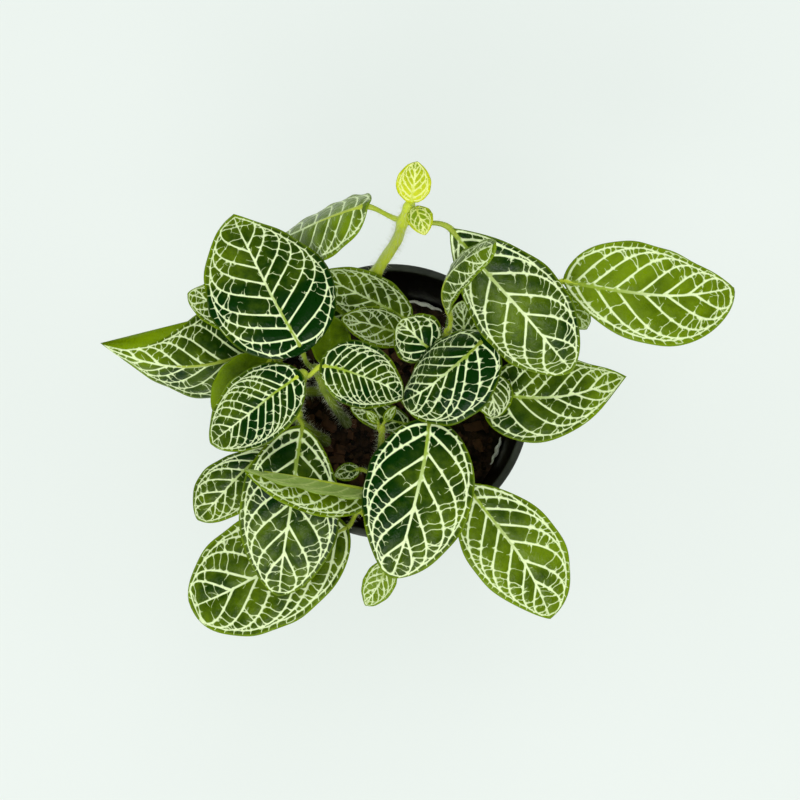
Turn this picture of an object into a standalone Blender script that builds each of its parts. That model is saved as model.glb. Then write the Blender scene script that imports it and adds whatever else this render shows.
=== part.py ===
# A nerve plant in a round nursery pot: pot, soil, stems, and leaves with their stalks.
# Design sizes are in millimetres, the finished meshes in metres, +Z up, pot base on z = 0.
import math

import bmesh
import bpy
from mathutils import Matrix, Vector

rim_radius = 52.5
pot_height = 90.0
base_radius = 37.5
wall = 1.3
lip_width = 3.0
soil_drop = 25.0
soil_lumps = 1.0
leaf_thickness = 0.8
stalk_radius = 1.0
stem_scale = 1.0
clearance = 0.35

spread = rim_radius / 52.5
soil_level = pot_height - soil_drop


def place(x, y, z):
    """A design point: x and y from the pot's axis, z above the rim."""
    return Vector((x * spread, y * spread, pot_height + z * spread))


def add(name, verts, faces):
    mesh = bpy.data.meshes.new(name)
    mesh.from_pydata([[c * 0.001 for c in v] for v in verts], [], faces)
    body = bmesh.new()
    body.from_mesh(mesh)
    bmesh.ops.recalc_face_normals(body, faces=body.faces[:])
    bmesh.ops.triangulate(body, faces=body.faces[:])
    body.to_mesh(mesh)
    body.free()
    thing = bpy.data.objects.new(name, mesh)
    bpy.context.scene.collection.objects.link(thing)
    return thing


def turned(name, profile, sides):
    """A solid of revolution. The profile starts and ends on the axis."""
    verts, faces = [], []
    verts.append((0, 0, profile[0][1]))
    for r, z in profile[1:-1]:
        for i in range(sides):
            a = 2 * math.pi * i / sides
            verts.append((r * math.cos(a), r * math.sin(a), z))
    verts.append((0, 0, profile[-1][1]))
    rings = len(profile) - 2
    last = len(verts) - 1
    for i in range(sides):
        j = (i + 1) % sides
        faces.append((0, 1 + j, 1 + i))
        faces.append((last, 1 + (rings - 1) * sides + i, 1 + (rings - 1) * sides + j))
        for k in range(rings - 1):
            a, b = 1 + k * sides, 1 + (k + 1) * sides
            faces.append((a + i, a + j, b + j, b + i))
    return add(name, verts, faces)


# Pot

band_drop = 15.0
under_band = pot_height - band_drop


def inner_radius(z):
    """Radius of the pot's inner wall at height z, below the ledge."""
    low = base_radius - wall
    high = rim_radius - lip_width - 3.1
    return low + (high - low) * (z - wall) / (under_band - wall)


def make_pot():
    top = pot_height
    inside = inner_radius(under_band)
    profile = [
        (0, 0),
        (base_radius - 1.2, 0),
        (base_radius, 1.2),
        (inside + wall, under_band - 1.2),
        (rim_radius - 2.3, under_band),
        (rim_radius - 1.3, top - 3.4),
        (rim_radius, top - 2.8),
        (rim_radius, top - 0.8),
        (rim_radius - 0.8, top),
        (rim_radius - lip_width + 0.4, top),
        (rim_radius - lip_width, top - 0.6),
        (rim_radius - lip_width - 0.1, top - 3.2),
        (rim_radius - lip_width - 1.6, top - 4.2),
        (inside, under_band),
        (inner_radius(wall + 1.0) - 0.2, wall + 1.0),
        (base_radius - wall - 1.4, wall),
        (0, wall),
    ]
    pot = turned("pot", profile, 60)
    # drain holes, cut through the base with one tool
    verts, faces = [], []
    for i in range(6):
        a = math.radians(33 + 60 * i)
        x, y = base_radius * 0.66 * math.cos(a), base_radius * 0.66 * math.sin(a)
        n = len(verts)
        for z in (-4, 6):
            for k in range(12):
                b = 2 * math.pi * (k + 0.3) / 12
                verts.append((x + 4.2 * math.cos(b), y + 4.2 * math.sin(b), z))
        for k in range(12):
            j = (k + 1) % 12
            faces.append((n + k, n + j, n + 12 + j, n + 12 + k))
        faces.append(tuple(range(n + 11, n - 1, -1)))
        faces.append(tuple(range(n + 12, n + 24)))
    tool = add("tool", verts, faces)
    cut = pot.modifiers.new("holes", "BOOLEAN")
    cut.operation = "DIFFERENCE"
    cut.solver = "EXACT"
    cut.object = tool
    bpy.context.view_layer.objects.active = pot
    pot.select_set(True)
    bpy.ops.object.modifier_apply(modifier=cut.name)
    bpy.data.objects.remove(tool)
    body = bmesh.new()
    body.from_mesh(pot.data)
    bmesh.ops.remove_doubles(body, verts=body.verts[:], dist=1e-7)
    bmesh.ops.triangulate(body, faces=body.faces[:])
    body.to_mesh(pot.data)
    body.free()


# Soil

def soil_top(x, y):
    """Height of the soil's surface, a little lumpy and level at its edge."""
    r = math.hypot(x, y) / (inner_radius(soil_level))
    calm = max(0.0, 1 - r ** 4)
    lumps = (math.sin(x * 0.19 + 1.1) * math.cos(y * 0.23 - 0.4)
             + 0.5 * math.sin(x * 0.37 - y * 0.31 + 2.0))
    return soil_level + soil_lumps * spread * calm * lumps


def make_soil():
    sides, rings = 36, 8
    edge = inner_radius(soil_level) - clearance
    verts = [(0, 0, soil_top(0, 0))]
    for k in range(1, rings + 1):
        r = edge * (k / rings) ** 0.9
        for i in range(sides):
            a = 2 * math.pi * i / sides
            x, y = r * math.cos(a), r * math.sin(a)
            verts.append((x, y, soil_top(x, y)))
    floor = wall + clearance
    foot = inner_radius(floor + 2.2) - clearance - 1.8
    for i in range(sides):
        a = 2 * math.pi * i / sides
        verts.append((foot * math.cos(a), foot * math.sin(a), floor))
    verts.append((0, 0, floor))
    faces = []
    for i in range(sides):
        j = (i + 1) % sides
        faces.append((0, 1 + i, 1 + j))
        for k in range(rings):
            a, b = 1 + k * sides, 1 + (k + 1) * sides
            faces.append((a + i, b + i, b + j, a + j))
        faces.append((len(verts) - 1, 1 + rings * sides + j, 1 + rings * sides + i))
    add("soil", verts, faces)


# Stems

def through(points, t):
    """A smooth curve through the points: position at t from 0 to 1."""
    n = len(points) - 1
    k = min(int(t * n), n - 1)
    f = t * n - k
    p1, p2 = points[k], points[k + 1]
    p0 = points[k - 1] if k else p1 * 2 - p2
    p3 = points[k + 2] if k + 2 <= n else p2 * 2 - p1
    return (p1 * 2 + (p2 - p0) * f + (p0 * 2 - p1 * 5 + p2 * 4 - p3) * f * f
            + (p1 * 3 - p0 - p2 * 3 + p3) * f ** 3) * 0.5


def square_to(along, like):
    """A unit vector square to along, as near to like as it can be."""
    return (like - along * like.dot(along)).normalized()


class Stem:
    """A tapering tube from the soil's surface up through the given points."""

    def __init__(self, name, points, low, high, steps=7):
        points = [place(*p) for p in points]
        foot = points[0]
        foot.z = clearance + 0.1 + max(
            soil_top(foot.x + dx, foot.y + dy) for dx in (-2, 0, 2) for dy in (-2, 0, 2))
        self.name, self.points, self.steps = name, points, steps
        self.low, self.high = low * stem_scale, high * stem_scale

    def at(self, t):
        return through(self.points, t)

    def along(self, t):
        return (self.at(min(t + 0.01, 1)) - self.at(max(t - 0.01, 0))).normalized()

    def radius(self, t):
        return self.low + (self.high - self.low) * t

    def make(self):
        sides = 8
        verts, faces = [], []
        side = Vector((1, 0, 0))
        for k in range(self.steps + 1):
            t = k / self.steps
            along = self.along(t) if k else Vector((0, 0, 1))
            side = square_to(along, side)
            other = along.cross(side)
            r = self.radius(t)
            for i in range(sides):
                a = 2 * math.pi * i / sides
                verts.append(self.at(t) + side * (r * math.cos(a)) + other * (r * math.sin(a)))
            if k:
                b = k * sides
                for i in range(sides):
                    j = (i + 1) % sides
                    faces.append((b - sides + i, b - sides + j, b + j, b + i))
        faces.append(tuple(range(sides - 1, -1, -1)))
        faces.append(tuple(range(self.steps * sides, (self.steps + 1) * sides)))
        add(self.name, verts, faces)


# Leaves

def cubic(p0, p1, p2, p3, t):
    s = 1 - t
    return p0 * s ** 3 + p1 * (3 * s * s * t) + p2 * (3 * s * t * t) + p3 * t ** 3


class Leaf:
    """A stalk and a blade. Base and tip are the blade's ends; rise and side bow its midrib
    up and to its left; fold lifts both halves; curl bends them up towards the margin."""

    def __init__(self, name, stem, at, base, tip, width, rise=(3, 3), side=(0, 0), roll=0,
                 twist=0, fold=8, curl=-14, lobe=0.06, blunt=0.72, full=0.55, right=None, stalk=1.0):
        self.name, self.stem, self.where = name, stem, at
        base, tip = place(*base), place(*tip)
        chord = tip - base
        left = Vector((0, 0, 1)).cross(chord).normalized()
        up = chord.normalized().cross(left)
        self.left = left
        self.ends = (base,
                     base + chord / 3 + up * (rise[0] * spread) + left * (side[0] * spread),
                     base + chord * (2 / 3) + up * (rise[1] * spread) + left * (side[1] * spread),
                     tip)
        self.length = chord.length
        self.half = width * spread / 2
        self.roll, self.twist = math.radians(roll), math.radians(twist)
        self.fold, self.curl = math.radians(fold), math.radians(curl)
        self.lobe = lobe
        self.stalk = stalk_radius * stalk
        # how full the base and how blunt the tip, for the left half and the right half
        self.shapes = ((full, blunt), right or (full, blunt))

    def spine(self, t):
        return cubic(*self.ends, t)

    def frame(self, t):
        t = min(max(t, 0.0), 1.0)
        a, b = max(t - 0.01, 0), min(t + 0.01, 1)
        along = (self.spine(b) - self.spine(a)).normalized()
        side = square_to(along, self.left)
        up = along.cross(side)
        turn = Matrix.Rotation(self.roll + self.twist * t, 3, along)
        return along, turn @ side, turn @ up

    def half_width(self, t, u=1):
        full, blunt = self.shapes[u < 0]
        best = full / (full + blunt)
        peak = best ** full * (1 - best) ** blunt
        return self.half * t ** full * (1 - t) ** blunt / peak

    def point(self, t, u, lift):
        """The blade at t along and u across (-1 to 1), lift off its middle surface."""
        across = abs(u) * self.half_width(t, u)
        back = self.lobe * self.length * u * u * (1 - t) ** 3
        along_t = t - back / self.length
        along, side, up = self.frame(along_t)
        middle = self.spine(max(along_t, 0)) + along * (min(along_t, 0) * self.length)
        v = across / self.half
        slope = self.fold + self.curl * v
        if abs(self.curl) > 1e-6:
            out = self.half / self.curl * (math.sin(slope) - math.sin(self.fold))
            high = self.half / self.curl * (math.cos(self.fold) - math.cos(slope))
        else:
            out, high = across * math.cos(self.fold), across * math.sin(self.fold)
        sign = 1 if u > 0 else -1
        if u == 0:
            return middle + up * lift
        return (middle + side * (sign * (out - lift * math.sin(slope)))
                + up * (high + lift * math.cos(slope)))

    def make(self):
        base = self.ends[0]
        along0, side0, up0 = self.frame(0)
        heart = self.stem.at(self.where)
        run = self.stem.along(self.where)
        if self.where >= 1:
            start = heart + run * clearance
            out = run
        else:
            out = square_to(run, base - heart)
            start = heart + out * (self.stem.radius(self.where) + clearance)
        reach = (base - start).length
        pull = reach * 0.4
        path = (start, start + out * pull, base - along0 * pull, base)
        stops = [0, 0.33, 0.67, 1] if reach > 7 else [0, 0.5, 1]
        verts, faces = [], []
        r = self.stalk
        side = side0
        rings = []
        for s in reversed(stops):
            if s == 0:
                along = out
            elif s == 1:
                along = along0
            else:
                along = (cubic(*path, s + 0.02) - cubic(*path, s - 0.02)).normalized()
            side = square_to(along, side)
            up = along.cross(side)
            wide = r * (1.15 - 0.3 * math.sin(math.pi * s))
            rings.append([cubic(*path, s) + side * (wide * math.cos(a)) + up * (wide * math.sin(a))
                          for a in [math.pi * k / 4 for k in range(8)]])
        rings.reverse()
        th = leaf_thickness / 2
        for t in (0.04, 0.1, 0.19, 0.3, 0.42, 0.55, 0.68, 0.8, 0.9, 0.965):
            core = th + max(0, 0.1 - t) * 4
            thin = min(th, 0.12 * min(self.half_width(t), self.half_width(t, -1)))
            rings.append([
                self.point(t, 1, 0), self.point(t, 0.5, thin), self.point(t, 0, core),
                self.point(t, -0.5, thin), self.point(t, -1, 0), self.point(t, -0.5, -thin),
                self.point(t, 0, -core), self.point(t, 0.5, -thin)])
        for k, ring in enumerate(rings):
            verts += ring
            if k:
                b = 8 * k
                for i in range(8):
                    j = (i + 1) % 8
                    faces.append((b - 8 + i, b - 8 + j, b + j, b + i))
        faces.append(tuple(range(7, -1, -1)))
        verts.append(self.spine(1))
        for i in range(8):
            faces.append((len(rings) * 8 - 8 + i, len(rings) * 8 - 8 + (i + 1) % 8, len(verts) - 1))
        add(self.name, verts, faces)


for thing in list(bpy.data.objects):
    bpy.data.objects.remove(thing)

make_pot()
make_soil()

# Stems: points from the soil up, and the radius at the bottom and the top.
stems = {
    "a": Stem("stem_a", [(-25, -13, -16), (-31, -12, 4), (-34, -9, 23), (-31, 2, 43)], 2.0, 1.6),
    "b": Stem("stem_b", [(-10, 38, -16), (-8, 44, 0), (-3, 49, 16), (2.5, 51, 42), (4.5, 51, 67), (7, 53, 82)], 2.5, 1.6, 10),
    "c": Stem("stem_c", [(30, 7, -16), (35, 10, 10), (36, 14, 37)], 2.0, 1.5),
    "d": Stem("stem_d", [(25, 20, -16), (41, 26, 12), (57, 34, 36)], 2.0, 1.5),
    "e": Stem("stem_e", [(9, -24, -16), (13, -17, 8), (15, -8, 24)], 2.0, 1.6),
    "f": Stem("stem_f", [(-24, 6, -16), (-38, 3, 8), (-42, 14, 26)], 2.0, 1.5),
    "g": Stem("stem_g", [(0, -26, -16), (-4, -36, 16)], 1.8, 1.4, 4),
    "h": Stem("stem_h", [(21, -18, -16), (25, -31, 13)], 1.8, 1.4, 4),
    "j": Stem("stem_j", [(15, 13, -16), (19, 18, 6), (21, 20, 29)], 2.0, 1.5),
    "k": Stem("stem_k", [(-4, -21, -16), (-3.5, -18, 6), (-3, -13, 17)], 1.5, 1.1, 4),
    "m": Stem("stem_m", [(-8, -34, -16), (-12, -42, 3)], 1.8, 1.5, 4),
    "n": Stem("stem_n", [(-17, -6, -16), (-22, -3, 16), (-27, 5, 37)], 1.8, 1.4),
}

leaves = [
    Leaf("leaf_a1", stems["a"], 0.66, (-32, -15, 24), (-41, -74, 4), 37, rise=(5, 6), lobe=0.02, full=0.75, right=(0.6, 0.72)),
    Leaf("leaf_a2", stems["a"], 0.97, (-33, 0, 45), (-64, -22, 32), 27, rise=(3, 4), roll=4),
    Leaf("leaf_a3", stems["a"], 0.97, (-23, 4, 45), (5, -5, 30), 24, rise=(3, 4), side=(2, 2), blunt=0.9),
    Leaf("leaf_n1", stems["n"], 0.98, (-32, 11, 48), (-56.2, 59.5, 45), 45, rise=(4, 4), side=(1, 2), fold=10, curl=-22, blunt=0.8, right=(0.55, 1)),
    Leaf("leaf_f1", stems["f"], 0.9, (-51, 14, 20), (-106.5, 17.5, 20), 40, rise=(4, 2), side=(10, 10), roll=-28, fold=-28, curl=-8, blunt=1.8, right=(0.55, 1.7)),
    Leaf("leaf_f2", stems["f"], 1, (-47, 24, 33), (-74, 34, 28), 18, rise=(2, 2)),
    Leaf("leaf_f3", stems["f"], 0.45, (-46, -20, 8), (-72, -45, -5), 22, rise=(3, 3), right=(1.1, 0.75)),
    Leaf("leaf_f4", stems["f"], 0.75, (-44, 9, 28), (-64, -9, 26), 18, rise=(3, 3), side=(-1, -1)),
    Leaf("leaf_b1", stems["b"], 0.8, (-10, 55, 72), (-46, 56, 14), 28, rise=(3, 1), roll=16, fold=-24, curl=-10),
    Leaf("leaf_b2", stems["b"], 0.8, (22, 47, 67), (65, 3, 41), 35, rise=(5, 7), roll=24, fold=2, curl=-24, full=0.95, blunt=0.85, lobe=0.03, right=(0.95, 0.62), side=(-1.5, -1.5)),
    Leaf("leaf_b3", stems["b"], 1, (7.5, 53, 86), (9, 65.5, 90), 12, rise=(2, 2), stalk=0.6),
    Leaf("leaf_b4", stems["b"], 0.96, (9, 51, 84), (12, 41, 86), 9, rise=(2, 2), stalk=0.6),
    Leaf("leaf_b5", stems["b"], 0.27, (-17, 31, 4), (-34, 44, 7), 18, rise=(2, 2)),
    Leaf("leaf_c1", stems["c"], 0.97, (32, 13, 43), (4, -6, 27), 36, rise=(6, 8), side=(3, 3), roll=20, fold=-10, curl=-22, lobe=0.12),
    Leaf("leaf_c2", stems["c"], 0.7, (37, 5, 21), (38, -10, 17), 15, rise=(2, 2)),
    Leaf("leaf_c3", stems["c"], 0.6, (38, 0, 16), (87, 6, 15), 33, rise=(3, 3), side=(-8, -5), curl=-20, full=0.47, blunt=0.9, right=(0.47, 1.15)),
    Leaf("leaf_d1", stems["d"], 0.97, (63, 36, 40), (125, 36, 30), 37, rise=(4, 5), side=(-5, -7), roll=8, lobe=0.02, blunt=0.85, full=0.5, right=(0.85, 0.66)),
    Leaf("leaf_d2", stems["d"], 0.85, (62, 34, 30), (72, 22, 24), 12, rise=(1, 1)),
    Leaf("leaf_e1", stems["e"], 0.98, (14, -14, 30), (0, -69, 22), 40, rise=(5, 7), side=(3, 3), curl=-25, lobe=0.03),
    Leaf("leaf_e2", stems["e"], 0.5, (6, -11, 8), (-15, -5, 11), 11, rise=(2, 2)),
    Leaf("leaf_g1", stems["g"], 0.97, (-7, -37, 17), (-52, -31, 34), 26, rise=(1, 3), roll=-52, fold=70, curl=-10, lobe=0.01, full=0.5),
    Leaf("leaf_h1", stems["h"], 0.96, (29, -37, 17), (59, -82, 0), 34, rise=(4, 5), side=(2, 4), full=0.8, right=(0.65, 0.85)),
    Leaf("leaf_h2", stems["h"], 0.7, (18, -32, 9), (24, -53, 3), 15, rise=(2, 2)),
    Leaf("leaf_j1", stems["j"], 0.8, (15, 13, 27), (3, 23.5, 29), 20, rise=(2, 2)),
    Leaf("leaf_j2", stems["j"], 0.62, (6, 21, 18), (-18, 26, 24), 15, rise=(2, 2)),
    Leaf("leaf_j3", stems["j"], 0.5, (6, 29, 8), (-27, 45.5, 12.3), 20, rise=(2, 2)),
    Leaf("leaf_j4", stems["j"], 0.7, (28, 18, 15), (26, 34, 17), 14, rise=(2, 2)),
    Leaf("leaf_j5", stems["j"], 1, (20, 24, 44), (35.6, 37.2, 90), 15, rise=(9, 8), side=(7, 7), roll=-34, fold=-30, curl=0, lobe=0.02, blunt=0.45),
    Leaf("leaf_k1", stems["k"], 0.9, (-4.5, -12, 19), (-9, -8, 22), 4, rise=(1, 1), stalk=0.6),
    Leaf("leaf_k2", stems["k"], 1, (-2, -11.5, 20), (2, -6.5, 23), 4, rise=(1, 1), stalk=0.6),
    Leaf("leaf_m1", stems["m"], 0.96, (-17, -49, 3), (-75, -77, -14), 43, rise=(4, 5), side=(1, 2), lobe=0.02, blunt=0.55),
    Leaf("leaf_m2", stems["m"], 0.9, (0, -62, 4.8), (-9, -77, -4), 12, rise=(2, 1)),
    Leaf("leaf_g2", stems["g"], 0.6, (-12, -27, 4), (-21, -30, 7), 7, rise=(1, 1), stalk=0.8),
    Leaf("leaf_n2", stems["n"], 0.7, (-20, 8, 22), (-24, 29, 19), 15, rise=(2, 2)),
]

for stem in stems.values():
    stem.make()
for leaf in leaves:
    leaf.make()
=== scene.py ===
import math
import random

import bmesh
import bpy
import numpy as np
from mathutils import Euler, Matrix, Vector
from mathutils.geometry import delaunay_2d_cdt
from mathutils.noise import noise as noise3


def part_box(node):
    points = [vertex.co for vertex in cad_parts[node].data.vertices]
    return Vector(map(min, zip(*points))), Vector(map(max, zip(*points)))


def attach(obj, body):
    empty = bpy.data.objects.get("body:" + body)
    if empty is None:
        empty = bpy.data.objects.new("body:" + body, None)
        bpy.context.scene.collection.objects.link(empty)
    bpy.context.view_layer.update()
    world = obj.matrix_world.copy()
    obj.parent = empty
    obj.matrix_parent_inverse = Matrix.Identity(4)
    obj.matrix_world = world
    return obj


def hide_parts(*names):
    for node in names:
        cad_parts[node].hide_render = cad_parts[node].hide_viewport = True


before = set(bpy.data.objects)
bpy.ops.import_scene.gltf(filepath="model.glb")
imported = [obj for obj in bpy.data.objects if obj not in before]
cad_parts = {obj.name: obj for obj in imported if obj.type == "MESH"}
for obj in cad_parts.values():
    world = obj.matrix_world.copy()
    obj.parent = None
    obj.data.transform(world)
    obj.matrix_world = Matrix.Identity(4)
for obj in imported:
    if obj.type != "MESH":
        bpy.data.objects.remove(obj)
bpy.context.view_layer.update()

scene = bpy.context.scene
mm = 0.001
potLow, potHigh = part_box("pot")
rimHeight = potHigh[2] / mm   # plant points are given in mm from the rim's centre
rimRadius = (potHigh[0] - potLow[0]) / mm / 2

# lens and sensor in mm, distances in m, aim in mm from the rim's centre, elevation in degrees
camera = {"lens": 89.9, "sensor": 36, "distance": 0.75, "elevation": 80, "aimX": 3.5, "aimY": -0.2,
          "clipEnd": 20}


def makeCamera():
    aim = Vector((camera["aimX"], camera["aimY"], rimHeight)) * mm
    tilt = math.radians(camera["elevation"])
    eye = bpy.data.cameras.new("camera")
    eye.lens = camera["lens"]
    eye.sensor_width = camera["sensor"]
    eye.clip_end = camera["clipEnd"]
    holder = bpy.data.objects.new("camera", eye)
    holder.location = aim + Vector((0, -math.cos(tilt), math.sin(tilt))) * camera["distance"]
    holder.rotation_euler = (math.pi / 2 - tilt, 0, 0)
    scene.collection.objects.link(holder)
    scene.camera = holder


makeCamera()
scene.view_settings.view_transform = "Standard"
print("camera set")

# name: place in m, size in m, power in W, colour, and whether leaves mirror it
lights = {
    "frontBox": ((-0.20, -1.20, 1.15), (1.0, 0.7), 16, (1.0, 0.99, 0.96), True),
    "backBox": ((0.30, 1.20, 1.20), (1.2, 1.0), 8, (0.98, 1.0, 0.98), False),
    "leftBox": ((-1.25, 0.10, 1.10), (1.0, 1.0), 7, (0.98, 1.0, 0.98), False),
    "rightBox": ((1.25, -0.10, 1.10), (1.0, 1.0), 7, (1.0, 1.0, 1.0), False),
    "topBox": ((0.0, 0.10, 1.70), (1.4, 1.4), 8, (0.98, 1.0, 0.98), False),
}
skyLight = {"colour": (0.92, 1.0, 0.96, 1), "strength": 0.10}


def makeLights():
    middle = Vector((0, 0, rimHeight * mm))
    for name, (where, size, power, colour, mirrored) in lights.items():
        lamp = bpy.data.lights.new(name, "AREA")
        lamp.shape = "RECTANGLE"
        lamp.size, lamp.size_y = size
        lamp.energy = power
        lamp.color = colour
        holder = bpy.data.objects.new(name, lamp)
        holder.location = where
        holder.rotation_euler = (middle - Vector(where)).to_track_quat("-Z", "Y").to_euler()
        holder.visible_glossy = mirrored
        scene.collection.objects.link(holder)
    sky = bpy.data.worlds.new("studio")
    scene.world = sky
    sky.use_nodes = True
    back = sky.node_tree.nodes["Background"]
    back.inputs["Color"].default_value = skyLight["colour"]
    back.inputs["Strength"].default_value = skyLight["strength"]
    sky.cycles_visibility.glossy = False


makeLights()
print("lights set")


def srgb(r, g, b):
    # a screen colour, 0 to 255, as the linear colour that a socket takes
    return tuple(c / 255 / 12.92 if c < 11 else ((c / 255 + 0.055) / 1.055) ** 2.4
                 for c in (r, g, b)) + (1,)


def add(tree, kind, feeds=None, **settings):
    # one node, its settings, and what feeds its sockets: another socket or a plain value
    made = tree.nodes.new(kind)
    for key, value in settings.items():
        setattr(made, key, value)
    for socket, source in (feeds or {}).items():
        if isinstance(source, bpy.types.NodeSocket):
            tree.links.new(source, made.inputs[socket])
        else:
            made.inputs[socket].default_value = source
    return made


def maths(tree, operation, *sources):
    return add(tree, "ShaderNodeMath", dict(enumerate(sources)), operation=operation).outputs[0]


def blend(tree, share, low, high):
    made = add(tree, "ShaderNodeMix", {0: share, 6: low, 7: high}, data_type="RGBA")
    return made.outputs[2]


def ramp(tree, value, low, high, toLow=0.0, toHigh=1.0):
    return add(tree, "ShaderNodeMapRange", {"Value": value, "From Min": low, "From Max": high,
               "To Min": toLow, "To Max": toHigh}, interpolation_type="SMOOTHSTEP").outputs[0]


def noise(tree, scale, detail=3, stretch=None):
    # noise fixed to the piece; scale in features per metre
    place = add(tree, "ShaderNodeTexCoord").outputs["Object"]
    if stretch:
        place = add(tree, "ShaderNodeMapping", {"Vector": place, "Scale": stretch}).outputs[0]
    made = add(tree, "ShaderNodeTexNoise", {"Vector": place, "Scale": scale, "Detail": detail})
    return made.outputs["Fac"]


def mottle(tree, scale, detail, strength, shift=None):
    # noise around zero, or around another middle when a shift is given
    shift = -strength / 2 if shift is None else shift
    return maths(tree, "MULTIPLY_ADD", noise(tree, scale, detail), strength, shift)


def reading(tree, name):
    return add(tree, "ShaderNodeAttribute", attribute_name=name).outputs["Fac"]


def roughen(tree, shader, height, strength, distance):
    made = add(tree, "ShaderNodeBump", {"Strength": strength, "Distance": distance, "Height": height})
    tree.links.new(made.outputs[0], shader.inputs["Normal"])


def newMaterial(name, roughness=0.5):
    mat = bpy.data.materials.new(name)
    mat.use_nodes = True
    shader = mat.node_tree.nodes["Principled BSDF"]
    shader.inputs["Roughness"].default_value = roughness
    return mat, mat.node_tree, shader


def newGroup(name, inputs, outputs):
    group = bpy.data.node_groups.new(name, "ShaderNodeTree")
    kinds = {"colour": "NodeSocketColor", "value": "NodeSocketFloat"}
    for label, kind in inputs.items():
        group.interface.new_socket(label, in_out="INPUT", socket_type=kinds[kind])
    for label, kind in outputs.items():
        group.interface.new_socket(label, in_out="OUTPUT", socket_type=kinds[kind])
    return group, group.nodes.new("NodeGroupInput"), group.nodes.new("NodeGroupOutput")


# noise is given as scale, detail and strength, then its shift where it has one
laminaLook = {
    "veinEdge": (900, 2, 0.12),
    "patches": (55, 3, 1.35, -0.64),
    "grain": (420, 3, 0.34),
    "rimLight": 0.4,    # how much lighter the margin is
    "haloLight": 0.08,  # and the strip beside a vein
    "thinVein": 0.66,   # how far the thinnest veins cover the lamina
}


def makeVeinGroup():
    # lamina and veins: a leaf's top, its underside and young leaves use it with their own colours
    group, given, out = newGroup(
        "veinNet",
        {"Dark": "colour", "Light": "colour", "Vein": "colour", "Rib": "colour", "Tone Shift": "value",
         "Vein Share": "value"},
        {"Colour": "colour", "Vein Mask": "value"})
    vein = reading(group, "vein")
    level = maths(group, "ADD", vein, mottle(group, *laminaLook["veinEdge"]))
    mask = ramp(group, level, -0.06, 0.06)
    tone = maths(group, "ADD", reading(group, "tone"), given.outputs["Tone Shift"])
    patches = mottle(group, *laminaLook["patches"])
    grain = mottle(group, *laminaLook["grain"])
    rim = ramp(group, reading(group, "edge"), 1.1, 0.15, 0.0, laminaLook["rimLight"])
    halo = ramp(group, vein, -0.55, -0.02, 0.0, laminaLook["haloLight"])
    for part in (patches, grain, rim, halo):
        tone = maths(group, "ADD", tone, part)
    lamina = blend(group, ramp(group, tone, 0.0, 1.0), given.outputs["Dark"], given.outputs["Light"])
    veinColour = blend(group, ramp(group, reading(group, "rib"), 0.1, 0.9),
                       given.outputs["Vein"], given.outputs["Rib"])
    share = maths(group, "MULTIPLY", mask, given.outputs["Vein Share"])
    share = maths(group, "MULTIPLY", share, ramp(group, vein, 0.04, 0.26, laminaLook["thinVein"], 1.0))
    group.links.new(blend(group, share, lamina, veinColour), out.inputs["Colour"])
    group.links.new(mask, out.inputs["Vein Mask"])
    return group


veinGroup = makeVeinGroup()

leafColours = {
    "leafTop": {"Dark": srgb(4, 43, 0), "Light": srgb(112, 140, 0), "Vein": srgb(226, 242, 188),
                "Rib": srgb(144, 170, 50), "Tone Shift": -0.03, "Vein Share": 1.0, "roughness": 0.3},
    "leafUnder": {"Dark": srgb(96, 128, 44), "Light": srgb(150, 176, 86), "Vein": srgb(190, 206, 128),
                  "Rib": srgb(176, 198, 96), "Tone Shift": 0.1, "Vein Share": 0.75, "roughness": 0.55},
    "youngTop": {"Dark": srgb(104, 138, 4), "Light": srgb(196, 206, 16), "Vein": srgb(234, 242, 160),
                 "Rib": srgb(204, 216, 90), "Tone Shift": 0.15, "Vein Share": 0.9, "roughness": 0.4},
}
leafGloss = {"specular": 0.2, "duller": 0.16, "uneven": (300, 3, 0.2), "pores": 1300, "poreDepth": 0.0003}


def makeLeafMaterial(name, roughness, **colours):
    mat, tree, shader = newMaterial(name)
    shader.inputs["Specular IOR Level"].default_value = leafGloss["specular"]
    net = add(tree, "ShaderNodeGroup", node_tree=veinGroup)
    for label, value in colours.items():
        net.inputs[label].default_value = value
    tree.links.new(net.outputs["Colour"], shader.inputs["Base Color"])
    # veins are duller than the lamina
    rough = maths(tree, "MULTIPLY_ADD", net.outputs["Vein Mask"], leafGloss["duller"], roughness)
    rough = maths(tree, "ADD", rough, mottle(tree, *leafGloss["uneven"]))
    tree.links.new(rough, shader.inputs["Roughness"])
    roughen(tree, shader, noise(tree, leafGloss["pores"]), 1.0, leafGloss["poreDepth"])
    return mat


leafLooks = {name: makeLeafMaterial(name, **values) for name, values in leafColours.items()}

stemLook = {"dark": srgb(92, 116, 26), "light": srgb(206, 224, 60), "roughness": 0.45,
            "uneven": (160, 3, 0.5), "ridges": 700, "ridgeDepth": 0.0004}


def makeStemMaterial():
    mat, tree, shader = newMaterial("stemSkin", stemLook["roughness"])
    tone = maths(tree, "ADD", reading(tree, "tone"), mottle(tree, *stemLook["uneven"]))
    colour = blend(tree, ramp(tree, tone, 0.0, 1.0), stemLook["dark"], stemLook["light"])
    tree.links.new(colour, shader.inputs["Base Color"])
    upright = (1, 1, 0.15)   # draws the noise out into ridges up the stem
    roughen(tree, shader, noise(tree, stemLook["ridges"], 3, upright), 0.4, stemLook["ridgeDepth"])
    return mat


# mm; hairs are counted for each 6 mm of stalk or stem
hairForm = {"shade": srgb(206, 214, 180), "light": srgb(240, 244, 226), "radius": 0.045,
            "onStalk": 26, "stalkReach": 1.5, "onStem": 46, "stemReach": 2.5}


def makeHairMaterial():
    mat, tree, shader = newMaterial("softHair")
    tint = blend(tree, noise(tree, 500), hairForm["shade"], hairForm["light"])
    tree.links.new(tint, shader.inputs["Base Color"])
    return mat


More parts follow.
